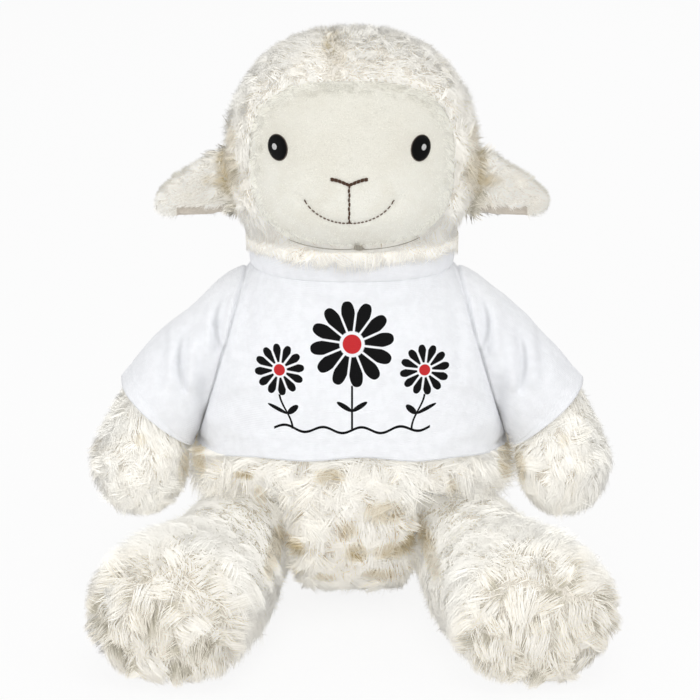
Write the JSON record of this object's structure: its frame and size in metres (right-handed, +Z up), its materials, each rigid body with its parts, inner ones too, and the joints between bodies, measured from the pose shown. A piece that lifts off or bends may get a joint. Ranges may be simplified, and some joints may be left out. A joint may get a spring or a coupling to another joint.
{
  "type": "plush sheep",
  "caption": "Seated plush sheep in a plain short-sleeved shirt; head, arms, legs, ears and tail turn on their seams.",
  "frame": {"origin": "on the flat of the seat, straight under the neck seam's axis", "axes": "+Z up, -Y the way the sheep looks, +X towards its left arm"},
  "size_m": [0.2102, 0.1887, 0.2345],
  "materials": {
    "wool_plush": "matte",
    "face_plush": "matte",
    "ear_plush": "matte",
    "fibre": "matte",
    "jersey": "matte",
    "black_thread": "satin",
    "white_thread": "satin",
    "brown_thread": "matte",
    "smile_thread": "matte",
    "seam_thread": "matte"
  },
  "bodies": {
    "torso": {"torso_cover": "wool_plush", "torso_stuffing": "fibre", "neck_seam_thread": "seam_thread", "shirt_front_panel": "jersey", "shirt_back_panel": "jersey", "collar_band": "jersey"},
    "head": {"head_cover": "wool_plush", "face_panel": "face_plush", "head_stuffing": "fibre", "left_eye": "black_thread", "right_eye": "black_thread", "left_eye_highlight": "white_thread", "right_eye_highlight": "white_thread", "nose_stitching": "brown_thread", "mouth_stitching": "smile_thread"},
    "left_ear": {"left_ear_back": "wool_plush", "left_ear_lining": "ear_plush"},
    "right_ear": {"right_ear_back": "wool_plush", "right_ear_lining": "ear_plush"},
    "left_arm": {"left_arm_cover": "wool_plush", "left_arm_stuffing": "fibre", "left_sleeve": "jersey"},
    "right_arm": {"right_arm_cover": "wool_plush", "right_arm_stuffing": "fibre", "right_sleeve": "jersey"},
    "left_leg": {"left_leg_cover": "wool_plush", "left_leg_stuffing": "fibre"},
    "right_leg": {"right_leg_cover": "wool_plush", "right_leg_stuffing": "fibre"},
    "tail": {"tail_cover": "wool_plush", "tail_stuffing": "fibre"}
  },
  "joints": [
    {"name": "neck_turn", "type": "hinge", "parent": "torso", "child": "head", "pos_m": [0, 0, 0.148], "axis": [0, 0, 1], "range_deg": [-30, 30], "stiffness_Nm_per_rad": 0.15},
    {"name": "left_ear_swing", "type": "hinge", "parent": "head", "child": "left_ear", "pos_m": [0.048, 0.001, 0.17425], "axis": [0, 0, 1], "range_deg": [-20, 20], "stiffness_Nm_per_rad": 0.01},
    {"name": "right_ear_swing", "type": "hinge", "parent": "head", "child": "right_ear", "pos_m": [-0.048, 0.001, 0.17425], "axis": [0, 0, 1], "range_deg": [-20, 20], "stiffness_Nm_per_rad": 0.01},
    {"name": "left_shoulder_swing", "type": "hinge", "parent": "torso", "child": "left_arm", "pos_m": [0.04919, -0.002, 0.11366], "axis": [-0.9553, 0, -0.2956], "range_deg": [-25, 100], "stiffness_Nm_per_rad": 0.1},
    {"name": "right_shoulder_swing", "type": "hinge", "parent": "torso", "child": "right_arm", "pos_m": [-0.04919, -0.002, 0.11366], "axis": [-0.9553, 0, 0.2956], "range_deg": [-25, 100], "stiffness_Nm_per_rad": 0.1},
    {"name": "left_hip_swing", "type": "hinge", "parent": "torso", "child": "left_leg", "pos_m": [0.0435, -0.004, 0.0255], "axis": [1, 0, 0], "range_deg": [-5, 65], "stiffness_Nm_per_rad": 0.15},
    {"name": "right_hip_swing", "type": "hinge", "parent": "torso", "child": "right_leg", "pos_m": [-0.0435, -0.004, 0.0255], "axis": [1, 0, 0], "range_deg": [-5, 65], "stiffness_Nm_per_rad": 0.15},
    {"name": "tail_lift", "type": "hinge", "parent": "torso", "child": "tail", "pos_m": [0, 0.0518, 0.052], "axis": [1, 0, 0], "range_deg": [-4, 40], "stiffness_Nm_per_rad": 0.01}
  ]
}
